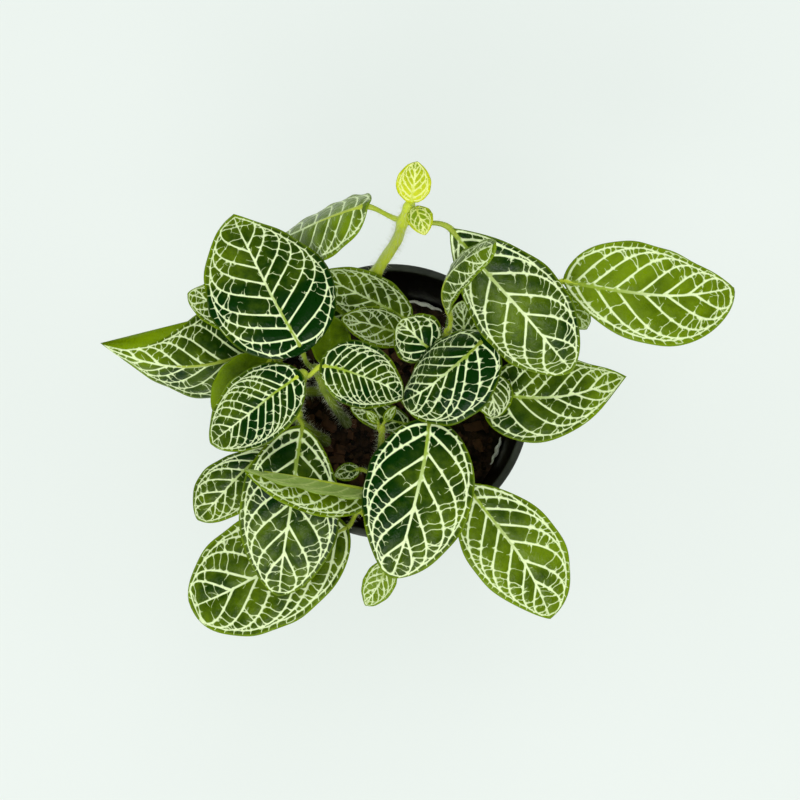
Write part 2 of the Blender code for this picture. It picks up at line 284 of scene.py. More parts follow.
stemSkin = makeStemMaterial()
softHair = makeHairMaterial()
print("leaf and stem materials made")

# the material numbers that a leaf's and a stem's faces use
topSlot, underSlot, skinSlot, hairSlot = range(4)


def pieceOf(name, verts, faces, slots, materials, attributes=None, smooth=True):
    # verts in mm; slots is one material number per face
    mesh = bpy.data.meshes.new(name)
    verts = np.asarray(verts, float) * mm
    mesh.from_pydata(verts.tolist(), [], faces)
    for mat in materials:
        mesh.materials.append(mat)
    mesh.polygons.foreach_set("material_index", np.asarray(slots, np.int32))
    mesh.polygons.foreach_set("use_smooth", [smooth] * len(mesh.polygons))
    for key, values in (attributes or {}).items():
        layer = mesh.attributes.new(key, "FLOAT", "POINT")
        layer.data.foreach_set("value", np.asarray(values, np.float32))
    mesh.update()
    thing = bpy.data.objects.new(name, mesh)
    scene.collection.objects.link(thing)
    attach(thing, "root")
    return thing


def around(sides):
    # the angles of this many corners round a circle
    return [2 * math.pi * i / sides for i in range(sides)]


def circle(radius, z, sides):
    return [(radius * math.cos(a), radius * math.sin(a), z) for a in around(sides)]


class Build:
    # gathers one piece: points with the values that its materials read, faces with a material number
    def __init__(self):
        self.verts, self.faces, self.slots = [], [], []
        self.values = {"vein": [], "edge": [], "rib": [], "tone": []}

    def points(self, places, vein=-1.0, edge=3.0, rib=0.0, tone=0.5):
        first = len(self.verts)
        self.verts.extend([tuple(p) for p in places])
        for key, value in (("vein", vein), ("edge", edge), ("rib", rib), ("tone", tone)):
            self.values[key].extend(np.broadcast_to(value, len(self.verts) - first).tolist())
        return first

    def face(self, corners, slot):
        self.faces.append(tuple(int(c) for c in corners))
        self.slots.append(slot)

    def band(self, low, high, sides, slot):
        # faces between two rings, each given by its first point
        for i in range(sides):
            j = (i + 1) % sides
            self.face((low + i, low + j, high + j, high + i), slot)

    def tube(self, centres, radii, slot, sides=12, tone=0.5):
        # a round tube along the points, closed at both ends
        centres = [Vector(c) for c in centres]
        side = Vector((1, 0, 0.01))
        count = len(centres)
        tones = np.broadcast_to(tone, count)
        first = len(self.verts)
        for k, centre in enumerate(centres):
            along = (centres[min(k + 1, count - 1)] - centres[max(k - 1, 0)]).normalized()
            side = (side - along * side.dot(along)).normalized()
            other = along.cross(side)
            ring = [centre + side * (radii[k] * math.cos(a)) + other * (radii[k] * math.sin(a))
                    for a in around(sides)]
            start = self.points(ring, tone=float(tones[k]))
            if k:
                self.band(start - sides, start, sides, slot)
        self.face(range(first + sides - 1, first - 1, -1), slot)
        self.face(range(start, start + sides), slot)

    def hair(self, root, tip):
        # one soft hair: a thin spike of three sides
        way = (tip - root).normalized()
        side = way.orthogonal().normalized()
        other = way.cross(side)
        radius = hairForm["radius"]
        ring = [root + side * (radius * math.cos(a)) + other * (radius * math.sin(a))
                for a in (0, 2.094, 4.189)]
        start = self.points(ring + [tip], tone=1.0)
        for i in range(3):
            self.face((start + i, start + (i + 1) % 3, start + 3), hairSlot)
        self.face((start + 2, start + 1, start), hairSlot)

    def finish(self, name, materials, smooth=True):
        return pieceOf(name, self.verts, self.faces, self.slots, materials, self.values, smooth)


def curvePoint(points, k, f):
    # f of the way from point k to the next, on a smooth curve through all of the points
    p1, p2 = points[k], points[k + 1]
    p0 = points[k - 1] if k else p1 * 2 - p2
    p3 = points[k + 2] if k + 2 < len(points) else p2 * 2 - p1
    return (p1 * 2 + (p2 - p0) * f + (p0 * 2 - p1 * 5 + p2 * 4 - p3) * f * f
            + (p1 * 3 - p0 - p2 * 3 + p3) * f ** 3) * 0.5


# stems: points in mm from the rim's centre, radius and tone at the foot and at the top
stems = {
    "a": {"points": [(-25, -13, -16), (-31, -12, 4), (-34, -9, 23), (-31, 2, 43)],
          "radii": (2.0, 1.6), "tones": (0.2, 0.5)},
    "b": {"points": [(-10, 38, -16), (-8, 44, 0), (-3, 49, 16), (2.5, 51, 42), (4.5, 51, 67), (7, 53, 82)],
          "radii": (2.5, 1.6), "tones": (0.7, 1.0)},
    "c": {"points": [(30, 7, -16), (35, 10, 10), (36, 14, 37)], "radii": (2.0, 1.5), "tones": (0.2, 0.6)},
    "d": {"points": [(25, 20, -16), (41, 26, 12), (57, 34, 36)], "radii": (2.0, 1.5), "tones": (0.2, 0.8)},
    "e": {"points": [(9, -24, -16), (13, -17, 8), (15, -8, 24)], "radii": (2.0, 1.6), "tones": (0.2, 0.5)},
    "f": {"points": [(-24, 6, -16), (-38, 3, 8), (-42, 14, 26)], "radii": (2.0, 1.5), "tones": (0.2, 0.4)},
    "g": {"points": [(0, -26, -16), (-4, -36, 16)], "radii": (1.8, 1.4), "tones": (0.2, 0.5)},
    "h": {"points": [(21, -18, -16), (25, -31, 13)], "radii": (1.8, 1.4), "tones": (0.2, 0.5)},
    "j": {"points": [(15, 13, -16), (19, 18, 6), (21, 20, 29)], "radii": (2.0, 1.5), "tones": (0.2, 0.6)},
    "k": {"points": [(-4, -21, -16), (-3.5, -18, 6), (-3, -13, 17)],
          "radii": (1.5, 1.1), "tones": (0.3, 0.6)},
    "m": {"points": [(-8, -34, -16), (-12, -42, 3)], "radii": (1.8, 1.5), "tones": (0.2, 0.5)},
    "n": {"points": [(-17, -6, -16), (-22, -3, 16), (-27, 5, 37)],
          "radii": (1.8, 1.4), "tones": (0.1, 0.3)},
}


def place(x, y, z):
    return Vector((x, y, rimHeight + z))


class Stem:
    def __init__(self, points, radii, tones):
        self.points = [place(*p) for p in points]
        self.radii, self.tones = radii, tones
        self.knots = []   # how far up its stalks leave, filled in by the leaves

    def at(self, t):
        # t runs from 0 at the foot to 1 at the top
        spans = len(self.points) - 1
        k = min(int(t * spans), spans - 1)
        return curvePoint(self.points, k, t * spans - k)

    def along(self, t):
        return (self.at(min(t + 0.01, 1)) - self.at(max(t - 0.01, 0))).normalized()

    def radius(self, t):
        return self.radii[0] + (self.radii[1] - self.radii[0]) * t


stemShapes = {key: Stem(**values) for key, values in stems.items()}

# leaves: the stem and how far up it, the blade's base and tip in mm, and its width;
# the shape: full and blunt for its base and tip (right for the right half), rise and side bend the
# midrib, roll, fold and curl turn and bend the halves, in degrees;
# the looks: tone 0 dark to 1 light, ribs is the number of side veins on each half, reach how far
# they run before they turn, bold how wide they are
leaves = {
    "a1": dict(stem="a", at=0.66, base=(-32, -15, 24), tip=(-41, -74, 4), width=37,
               full=0.75, right=(0.6, 0.72), lobe=0.02, rise=(5, 6), tone=0.21, tipTone=0.0, bold=1.06),
    "a2": dict(stem="a", at=0.97, base=(-33, 0, 45), tip=(-64, -22, 32), width=27, rise=(3, 4), roll=4,
               tone=0.16, ribs=9, reach=0.72, bold=0.74, ribLight=1.0),
    "a3": dict(stem="a", at=0.97, base=(-23, 4, 45), tip=(5, -5, 30), width=24,
               blunt=0.9, rise=(3, 4), side=(2, 2), tone=0.11, ribs=9, reach=0.72, bold=0.74, ribLight=1.0),
    "n1": dict(stem="n", at=0.98, base=(-32, 11, 48), tip=(-56.2, 59.5, 45), width=45,
               blunt=0.8, right=(0.55, 1), rise=(4, 4), side=(1, 2), fold=10, curl=-22,
               tone=0.16, tipTone=0.32, paintedSideLight=0.04, ribs=7, reach=0.68, bold=0.78),
    "f1": dict(stem="f", at=0.9, base=(-51, 14, 20), tip=(-106.5, 17.5, 20), width=40,
               blunt=1.8, right=(0.55, 1.7), rise=(4, 2), side=(10, 10), roll=-28, fold=-28, curl=-8,
               tone=0.37, reach=1, bold=0.9),
    "f2": dict(stem="f", at=1, base=(-47, 24, 33), tip=(-74, 34, 28), width=18, rise=(2, 2),
               tone=0.5, ribs=5),
    "f3": dict(stem="f", at=0.45, base=(-46, -20, 8), tip=(-72, -45, -5), width=22,
               right=(1.1, 0.75), rise=(3, 3), tone=0.25, ribs=6),
    "f4": dict(stem="f", at=0.75, base=(-44, 9, 28), tip=(-64, -9, 26), width=18,
               rise=(3, 3), side=(-1, -1), tone=0.72, ribs=5, plain=True),
    "b1": dict(stem="b", at=0.8, base=(-10, 55, 72), tip=(-46, 56, 14), width=28,
               rise=(3, 1), roll=16, fold=-24, curl=-10, tone=0.64, bold=1.06),
    "b2": dict(stem="b", at=0.8, base=(22, 47, 67), tip=(65, 3, 41), width=35,
               full=0.95, blunt=0.85, right=(0.95, 0.62), lobe=0.03, rise=(5, 7), side=(-1.5, -1.5),
               roll=24, fold=2, curl=-24,
               tone=0.31, tipTone=0.1, paintedSideLight=-0.08, bold=1.06),
    "b3": dict(stem="b", at=1, base=(7.5, 53, 86), tip=(9, 65.5, 90), width=12, rise=(2, 2), stalk=0.6,
               tone=0.36, tipTone=-0.45, ribs=5, young=True),
    "b4": dict(stem="b", at=0.96, base=(9, 51, 84), tip=(12, 41, 86), width=9, rise=(2, 2), stalk=0.6,
               tone=-0.1, ribs=4, young=True),
    "b5": dict(stem="b", at=0.27, base=(-17, 31, 4), tip=(-34, 44, 7), width=18, rise=(2, 2),
               tone=0.15, ribs=5),
    "c1": dict(stem="c", at=0.97, base=(32, 13, 43), tip=(4, -6, 27), width=36,
               lobe=0.12, rise=(6, 8), side=(3, 3), roll=20, fold=-10, curl=-22, tone=0.18, bold=0.8),
    "c2": dict(stem="c", at=0.7, base=(37, 5, 21), tip=(38, -10, 17), width=15, rise=(2, 2),
               tone=0.25, ribs=5),
    "c3": dict(stem="c", at=0.6, base=(38, 0, 16), tip=(87, 6, 15), width=33,
               full=0.47, blunt=0.9, right=(0.47, 1.15), rise=(3, 3), side=(-8, -5), curl=-20,
               tone=0.4, bold=0.92),
    "d1": dict(stem="d", at=0.97, base=(63, 36, 40), tip=(125, 36, 30), width=37,
               full=0.5, blunt=0.85, right=(0.85, 0.66), lobe=0.02, rise=(4, 5), side=(-5, -7), roll=8,
               tone=0.65, tipTone=-0.05, reach=1.1, bold=1.06, ribLight=1.0),
    "d2": dict(stem="d", at=0.85, base=(62, 34, 30), tip=(72, 22, 24), width=12, rise=(1, 1),
               tone=0.7, ribs=4),
    "e1": dict(stem="e", at=0.98, base=(14, -14, 30), tip=(0, -69, 22), width=40,
               lobe=0.03, rise=(5, 7), side=(3, 3), curl=-25,
               tone=0.14, tipTone=0.2, paintedSideLight=0.2, ribs=5, reach=1.15, bold=1.06),
    "e2": dict(stem="e", at=0.5, base=(6, -11, 8), tip=(-15, -5, 11), width=11, rise=(2, 2),
               tone=0.1, ribs=4),
    "g1": dict(stem="g", at=0.97, base=(-7, -37, 17), tip=(-52, -31, 34), width=26,
               full=0.5, lobe=0.01, rise=(1, 3), roll=-52, fold=70, curl=-10, tone=0.6, bold=1.06),
    "h1": dict(stem="h", at=0.96, base=(29, -37, 17), tip=(59, -82, 0), width=34,
               full=0.8, right=(0.65, 0.85), rise=(4, 5), side=(2, 4), tone=0.54, bold=1.06),
    "h2": dict(stem="h", at=0.7, base=(18, -32, 9), tip=(24, -53, 3), width=15, rise=(2, 2),
               tone=0.3, ribs=5),
    "j1": dict(stem="j", at=0.8, base=(15, 13, 27), tip=(3, 23.5, 29), width=20, rise=(2, 2),
               tone=0.2, ribs=4),
    "j2": dict(stem="j", at=0.62, base=(6, 21, 18), tip=(-18, 26, 24), width=15, rise=(2, 2),
               tone=0.53, ribs=5),
    "j3": dict(stem="j", at=0.5, base=(6, 29, 8), tip=(-27, 45.5, 12.3), width=20, rise=(2, 2),
               tone=0.42, ribs=6),
    "j4": dict(stem="j", at=0.7, base=(28, 18, 15), tip=(26, 34, 17), width=14, rise=(2, 2),
               tone=0.15, ribs=5),
    "j5": dict(stem="j", at=1, base=(20, 24, 44), tip=(35.6, 37.2, 90), width=15,
               blunt=0.45, lobe=0.02, rise=(9, 8), side=(7, 7), roll=-34, fold=-30, curl=0, tone=0.4),
    "k1": dict(stem="k", at=0.9, base=(-4.5, -12, 19), tip=(-9, -8, 22), width=4, rise=(1, 1), stalk=0.6,
               tone=0.5, ribs=3),
    "k2": dict(stem="k", at=1, base=(-2, -11.5, 20), tip=(2, -6.5, 23), width=4, rise=(1, 1), stalk=0.6,
               tone=0.5, ribs=3),
    "m1": dict(stem="m", at=0.96, base=(-17, -49, 3), tip=(-75, -77, -14), width=43,
               blunt=0.55, lobe=0.02, rise=(4, 5), side=(1, 2), tone=0.41, bold=1.06),
    "m2": dict(stem="m", at=0.9, base=(0, -62, 4.8), tip=(-9, -77, -4), width=12, rise=(2, 1),
               tone=0.75, ribs=5),
    "g2": dict(stem="g", at=0.6, base=(-12, -27, 4), tip=(-21, -30, 7), width=7, rise=(1, 1), stalk=0.8,
               tone=0.3, ribs=3),
    "n2": dict(stem="n", at=0.7, base=(-20, 8, 22), tip=(-24, 29, 19), width=15, rise=(2, 2),
               tone=0.55, ribs=4, plain=True),
}

# mm
bladeForm = {
    "thick": 0.4, "thinEdge": 0.35,        # the margin's share of the thickness
    "puff": 0.52, "puffRun": 1.7,          # how high the lamina swells, and over what run from a main vein
    "smallPuff": 0.28, "smallRun": 0.7,    # its share between the small veins
    "flatRim": 2.0, "ripple": 0.35,        # the flat strip at the margin and its waves
    "grid": 1.15, "margin": 0.72,          # the mesh's step, and how far the loops stay off the edge
}


def bezier(p0, p1, p2, p3, t):
    s = 1 - t
    return p0 * s ** 3 + p1 * (3 * s * s * t) + p2 * (3 * s * t * t) + p3 * t ** 3


def unit(rows):
    return rows / np.linalg.norm(rows, axis=-1, keepdims=True)


class Blade:
    # the leaf's surface: flat leaf coordinates (a along the midrib, b across) to a place in space
    def __init__(self, base, tip, width, rise=(3, 3), side=(0, 0), roll=0, fold=8, curl=-14,
                 lobe=0.06, blunt=0.72, full=0.55, right=None):
        base, tip = np.array(place(*base)), np.array(place(*tip))
        chord = tip - base
        self.left = unit(np.cross((0, 0, 1), chord))
        up = np.cross(unit(chord), self.left)
        self.ends = (base, base + chord / 3 + up * rise[0] + self.left * side[0],
                     base + chord * (2 / 3) + up * rise[1] + self.left * side[1], tip)
        self.length = float(np.linalg.norm(chord))
        self.half = width / 2
        self.roll, self.fold, self.curl = (math.radians(v) for v in (roll, fold, curl))
        self.lobe = lobe
        self.shapes = ((full, blunt), right or (full, blunt))

    def spine(self, t):
        t = np.asarray(t, float)[..., None]
        return bezier(*self.ends, t)

    def frame(self, t):
        # the directions along, across and up from the blade at t
        t = np.clip(t, 0, 1)
        along = unit(self.spine(np.minimum(t + 0.01, 1)) - self.spine(np.maximum(t - 0.01, 0)))
        side = unit(self.left - along * np.sum(self.left * along, -1, keepdims=True))
        up = np.cross(along, side)
        c, s = math.cos(self.roll), math.sin(self.roll)
        return along, side * c + up * s, up * c - side * s

    def halfWidth(self, t, sign=1):
        t = np.clip(t, 0, 1)
        full, blunt = self.shapes[sign < 0]
        best = full / (full + blunt)
        return self.half * t ** full * (1 - t) ** blunt / (best ** full * (1 - best) ** blunt)

    def marginAt(self, t):
        # how far up the midrib the margin's point t lies: the two lobes hang behind the base
        return t * self.length - self.lobe * self.length * np.maximum(0, 1 - t) ** 3

    def at(self, a, b, lift=0.0):
        a, b, lift = np.broadcast_arrays(np.asarray(a, float), b, lift)
        t = a / self.length
        along, side, up = self.frame(t)
        beyond = (t - np.clip(t, 0, 1)) * self.length
        middle = self.spine(np.clip(t, 0, 1)) + along * beyond[..., None]
        slope = self.fold + self.curl * np.abs(b) / self.half
        if abs(self.curl) > 1e-6:
            out = self.half / self.curl * (np.sin(slope) - math.sin(self.fold))
            high = self.half / self.curl * (math.cos(self.fold) - np.cos(slope))
        else:
            out, high = np.abs(b) * math.cos(self.fold), np.abs(b) * math.sin(self.fold)
        across = np.sign(b) * (out - lift * np.sin(slope))
        return middle + side * across[..., None] + up * (high + lift * np.cos(slope))[..., None]


def smoothLine(points, step):
    # a smooth curve through flat points, cut into steps of about this length
    points = np.asarray(points, float)
    out = []
    for k in range(len(points) - 1):
        count = max(1, int(np.linalg.norm(points[k + 1] - points[k]) / step + 0.5))
        out += [curvePoint(points, k, f) for f in np.arange(count) / count]
    out.append(points[-1])
    return np.array(out)


def segmentDistance(points, p, q):
    # each point's distance to each straight piece from p to q, and how far along that piece it is met
    run = q - p
    size = np.maximum(1e-12, np.sum(run * run, 1))
    gap = points[:, None] - p[None]
    f = np.clip(np.sum(gap * run[None], 2) / size, 0, 1)
    return np.linalg.norm(gap - f[..., None] * run[None], axis=2), f


# half widths in mm, for a leaf whose own half width is commonHalf; roots and knees are shares of the length
veinForm = {
    "midrib": ((0, 0.45, 0.8, 1), (0.80, 0.52, 0.36, 0.2)),
    "side": ((0, 0.1, 0.5, 1), (0.50, 0.43, 0.32, 0.18)),
    "cross": 0.13, "loop": 0.13, "tick": 0.09, "fadeOut": 0.05, "main": 0.3, "step": 1.15,
    "commonHalf": 19,
    "firstRoot": 0.006, "roots": (0.05, 0.66, 1.22),   # the second, span of the rest, how they crowd
    "nudge": 0.012, "lastKnee": 0.96,
    "reach": (0.32, 1.1, 1.42),   # first vein, second and the others, in mean half widths of the leaf
    "leave": (15, 21), "steepest": 1.75,   # degrees steeper than straight to the knee; the limit in radians
}
rungForm = {
    "first": 0.14, "last": 0.95, "middle": 0.42,   # shares of the side vein
    "gaps": (4.4, 2.8), "whole": (0.15, 0.88),     # up to the middle, and beyond
    "kept": 0.75, "halfMet": 0.7, "ticks": 0.22,   # chances
}
# mm, for the same leaf; linked is a chance
loopForm = {"gap": 2.7, "secondRow": 2.6, "linked": 0.12, "linkReach": 8, "shortest": 0.45}


class VeinNet:
    # the veins of one leaf in flat leaf coordinates, as lines with a half width at each point
    def __init__(self, blade, ribs, reach, bold, rng):
        self.blade, self.rng, self.reach, self.bold = blade, rng, reach, bold
        self.size = (blade.half / veinForm["commonHalf"]) ** 0.5
        self.lines = []
        phase = 6 * rng.random()
        wave = [(t * blade.length, 0.2 * math.sin(t * 9 + phase) * (t > 0)) for t in np.linspace(0, 0.97, 12)]
        self.rib = smoothLine(wave, 1.3)
        run = np.linspace(0, 1, len(self.rib))
        self.lines.append((self.rib, np.interp(run, *veinForm["midrib"]) * self.size))
        for sign in (1, -1):
            self.half(sign, ribs + 1, 0.0 if sign > 0 else 0.35)

    def draw(self, points, start, end, step=veinForm["step"]):
        line = smoothLine(points, step)
        wide = (start + (end - start) * np.linspace(0, 1, len(line))) * self.size
        self.lines.append((line, wide))

    def rim(self, t, sign, inset):
        # a point this far inside the margin
        t = min(0.985, max(0.015, t))
        across = max(0.0, float(self.blade.halfWidth(t, sign)) - inset)
        return np.array([self.blade.marginAt(t), sign * across])

    def inset(self, t, sign):
        # how far inside the margin the side veins run out
        return min(2.1 * self.size, 0.13 * float(self.blade.halfWidth(t, sign)) + 0.45)

    def rootAndKnee(self, i, ribs, sign, shift):
        # where side vein i leaves the midrib and where it comes beside the margin
        blade, rng, nudge = self.blade, self.rng, veinForm["nudge"]
        if i == 0:
            root = veinForm["firstRoot"]   # this vein follows the base round, the others run tipward
        else:
            second, span, crowd = veinForm["roots"]
            moved = shift * 0.6 / ribs + rng.uniform(-nudge, nudge)
            root = second + span * ((i - 1) / (ribs - 2)) ** crowd + moved * (1 < i)
        spots = np.linspace(root, veinForm["lastKnee"], 80)
        reach = self.reach * veinForm["reach"][min(i, 2)]
        meanWidth = 0.5 * (blade.halfWidth(spots, sign) + blade.halfWidth(max(root, 0.25), sign))
        past = np.flatnonzero((spots - root) * blade.length >= reach * meanWidth)
        if not len(past):
            return root, veinForm["lastKnee"]
        return root, min(veinForm["lastKnee"], float(spots[past[0]]) + rng.uniform(-nudge, nudge))

    def arc(self, origin, knee, sign, inset):
        # the vein's bow from the midrib to the knee, where it has turned along the margin
        end = self.rim(knee, sign, inset)
        ahead = self.rim(knee + 0.03, sign, inset * 0.95) - self.rim(knee - 0.05, sign, inset * 1.15)
        ahead /= np.linalg.norm(ahead)
        span = np.linalg.norm(end - origin)
        straight = math.atan2(abs(end[1]), end[0] - origin[0])
        angle = min(straight + math.radians(self.rng.uniform(*veinForm["leave"])), veinForm["steepest"])
        leave = np.array([math.cos(angle), sign * math.sin(angle)])
        return [bezier(origin, origin + leave * span * 0.4, end - ahead * span * 0.42, end, f)
                for f in np.linspace(0, 1, 7)]

    def half(self, sign, ribs, shift):
        blade = self.blade
        length = blade.length
        roots, knees = zip(*[self.rootAndKnee(i, ribs, sign, shift) for i in range(ribs)])
        sides = [None] * ribs
        ends = [0] * ribs   # the point of each vein where the one before it joins
        for i in reversed(range(ribs)):
            inset = self.inset(knees[i], sign)
            curve = self.arc(np.array([roots[i] * length, 0.0]), knees[i], sign, inset)
            if i == ribs - 1:
                goal = np.array([length * 0.975, sign * 0.12])
            else:
                # it runs on beside the margin until the next vein comes in
                after = sides[i + 1]
                join = knees[i] + max(0.05, 0.85 * (knees[i + 1] - knees[i]))
                late = np.flatnonzero(after[:, 0] > blade.marginAt(join))
                soonest = int(late[0]) if len(late) else len(after)
                ends[i + 1] = min(len(after) - 2, max(int(len(after) * 0.5), soonest))
                goal = after[ends[i + 1]]
                if np.linalg.norm(goal - curve[-1]) > 5:
                    curve.append(self.rim((knees[i] + goal[0] / length) / 2, sign, inset))
            curve.append(goal)
            sides[i] = smoothLine(curve, veinForm["step"])
            run = np.linspace(0, 1, len(sides[i]))
            wide = np.interp(run, *veinForm["side"]) * self.size
            wide *= 1 + 0.10 * np.sin(run * 30 + 6 * self.rng.random())
            self.lines.append((sides[i], wide))
        self.crossVeins(sides, ends, roots, sign)
        self.outerLoops(sides, ends, sign)

    def rung(self, p, q, whole):
        # a thin zigzag vein across a gap, whole or broken in the middle
        rng = self.rng
        span = q - p
        gap = np.linalg.norm(span)
        square = np.array([-span[1], span[0]])
        tilt = rng.uniform(-0.1, 0.1)
        one = p + span * rng.uniform(0.28, 0.4) + square * (tilt + rng.uniform(0.01, 0.06))
        two = p + span * rng.uniform(0.6, 0.72) + square * (tilt - rng.uniform(0.01, 0.06))
        wide = veinForm["cross"] * rng.uniform(0.8, 1.25)
        if whole:
            self.draw([p, one, two, q] if gap > 2.2 else [p, (one + two) / 2, q], wide * 1.15, wide)
        else:
            self.draw([p, one, one + (two - one) * rng.uniform(0.2, 0.6)], wide * 1.1, veinForm["fadeOut"])
            if rng.random() < rungForm["halfMet"]:
                self.draw([q, two + square * rng.uniform(-0.05, 0.05)], wide, veinForm["fadeOut"])
        if gap > 3:
            across = math.atan2(square[1], square[0])
            for bend, turn in ((one, 0), (two, math.pi)):
                if rng.random() < rungForm["ticks"]:
                    self.tick(bend, gap * 0.25, across + turn + rng.uniform(-0.5, 0.5))

    def crossVeins(self, sides, ends, roots, sign):
        rng, size = self.rng, self.size
        tipward = self.rib[self.rib[:, 0] > sides[-1][0][0]]
        for i, lower in enumerate(sides):
            last = i + 1 == len(sides)
            upper = tipward if last else sides[i + 1]
            if len(upper) < 3:
                continue
            stop = len(upper) - 1 if last else ends[i + 1]
            run = len(lower) * veinForm["step"]
            far = rungForm["first"]
            while far < rungForm["last"]:
                outer = far >= rungForm["middle"]
                p = lower[min(len(lower) - 2, int(far * len(lower)))]
                near = int(np.argmin(np.linalg.norm(upper[:stop + 1] - p, axis=1)))
                q = upper[max(0, min(stop, near + rng.choice((-1, 0, 0, 1))))]
                apart = near > 0 and np.linalg.norm(q - p) > 0.9 * size + 0.2
                if apart and (outer or rng.random() < rungForm["kept"]):
                    self.rung(p, q, rng.random() < rungForm["whole"][outer])
                far += rungForm["gaps"][outer] * size * rng.uniform(0.8, 1.2) / run
            self.deadEnds(lower, roots[i], 0.94 if last else roots[i + 1], sign)

    def deadEnds(self, side, root, following, sign):
        # short veins that end in the lamina, off the midrib and along the side vein
        rng, length = self.rng, self.blade.length
        between = (root + (following - root) * rng.uniform(0.35, 0.65)) * length
        reach = (following - root) * length
        if reach <= 3:
            return
        self.tick(np.array([between, 0.0]), reach * 0.36, math.radians(rng.uniform(40, 75)) * sign)
        for _ in range(rng.choice((0, 1, 2))):
            k = int(len(side) * rng.uniform(0.15, 0.62))
            way = side[k + 1] - side[k]
            heading = math.atan2(way[1], way[0]) + rng.choice((1, -1)) * rng.uniform(1.0, 2.0)
            self.tick(side[k], 2.0, heading)

    def tick(self, root, reach, heading):
        rng = self.rng
        reach *= rng.uniform(0.6, 1.1) * self.size
        first = root + reach * 0.5 * np.array([math.cos(heading), math.sin(heading)])
        heading += rng.uniform(-0.7, 0.7)
        tip = first + reach * 0.5 * np.array([math.cos(heading), math.sin(heading)])
        self.draw([root, first, tip], veinForm["tick"], veinForm["fadeOut"], 0.7)

    def outerLoops(self, sides, ends, sign):
        # short veins from the arches out to the margin, some of them linked along it
        rng, size, blade = self.rng, self.size, self.blade
        loop, cross = veinForm["loop"], veinForm["cross"]
        arch = []
        for i, line in enumerate(sides):
            first = ends[i] if i else int(len(line) * 0.25)
            arch += list(line[first:len(line) - (1 if i < len(sides) - 1 else 2)])
        inset = bladeForm["margin"] * (0.4 + 0.5 * size)
        last = before = None
        for p in arch:
            if last is not None and np.linalg.norm(p - last) < loopForm["gap"] * size * rng.uniform(0.8, 1.2):
                continue
            goal = self.rim(p[0] / blade.length + 0.015, sign, inset)
            reach = np.linalg.norm(goal - p)
            if reach < loopForm["shortest"]:
                continue
            last = p
            bow = np.array([-(goal - p)[1], (goal - p)[0]]) * rng.uniform(-0.12, 0.12)
            middle = (p + goal) / 2 + bow
            self.draw([p, middle, goal], loop * 1.2, loop * 0.8)
            if before is not None:
                formerMiddle, formerGoal = before
                if reach > loopForm["secondRow"] * size:
                    # a second row of loops where the margin is far
                    self.draw([middle, (formerMiddle + formerGoal) / 2], cross, cross)
                near = np.linalg.norm(goal - formerGoal) < loopForm["linkReach"] * size
                if near and rng.random() < loopForm["linked"]:
                    link = (goal + formerGoal) / 2
                    link = np.array([link[0], self.rim(link[0] / blade.length, sign, inset * 0.75)[1]])
                    self.draw([formerGoal, link, goal], loop * 0.8, loop * 0.8)
            before = (middle, goal)

    def levels(self, points):
        # for each point: the vein value (half width less distance) and the distance to the main veins
        best = np.full(len(points), -9.0)
        main = np.full(len(points), 9.0)
        nearby = 3.5   # mm; veins further off don't matter
        for line, wide in self.lines:
            close = (points > line.min(0) - nearby) & (points < line.max(0) + nearby)
            spots = np.flatnonzero(close.all(1))
            if not len(spots):
                continue
            dist, f = segmentDistance(points[spots], line[:-1], line[1:])
            value = (wide[:-1] + (wide[1:] - wide[:-1]) * f) * self.bold - dist
            best[spots] = np.maximum(best[spots], value.max(1))
            if wide[0] > veinForm["main"] * self.size:
                main[spots] = np.minimum(main[spots], dist.min(1))
        return best, main


def outline(blade):
    # the leaf's edge, from the stalk round the left half to the tip and back along the right
    alongSide = np.linspace(0.035, 0.97, int(blade.length))   # about 1 mm apart
    ts = np.concatenate([[0.002, 0.008, 0.018], alongSide, [0.985, 0.995]])
    a = blade.marginAt(ts)
    left = blade.halfWidth(ts) * (1 + 0.012 * np.sin(ts * 23 + blade.length))
    right = -blade.halfWidth(ts, -1) * (1 + 0.012 * np.sin(ts * 19 + 2 + blade.length))
    return np.concatenate([np.stack([a, left], 1), [[blade.length, 0]], np.stack([a, right], 1)[::-1]])


def inside(points, ring):
    # even-odd test for many points at once
    x, y = points[:, 0][:, None], points[:, 1][:, None]
    x0, y0 = ring[:, 0][None], ring[:, 1][None]
    x1, y1 = np.roll(ring[:, 0], -1)[None], np.roll(ring[:, 1], -1)[None]
    with np.errstate(divide="ignore", invalid="ignore"):
        cross = ((y0 > y) != (y1 > y)) & (x < (x1 - x0) * (y - y0) / (y1 - y0) + x0)
    return cross.sum(1) % 2 == 1


def edgeDistance(points, ring):
    return segmentDistance(points, ring, np.roll(ring, -1, 0))[0].min(1)


def wellInside(points, ring, gap):
    points = points[inside(points, ring)]
    return points[edgeDistance(points, ring) > gap]


def thinOut(points, spacing):
    # drops points that are closer than the spacing to one already kept
    kept, taken = [], {}
    for p in points:
        key = (int(p[0] // spacing), int(p[1] // spacing))
        beside = [taken.get((key[0] + i, key[1] + j)) for i in (-1, 0, 1) for j in (-1, 0, 1)]
        if any(other is not None and np.hypot(*(other - p)) < spacing for other in beside):
            continue
        taken[key] = p
        kept.append(p)
    return np.array(kept).reshape(-1, 2)


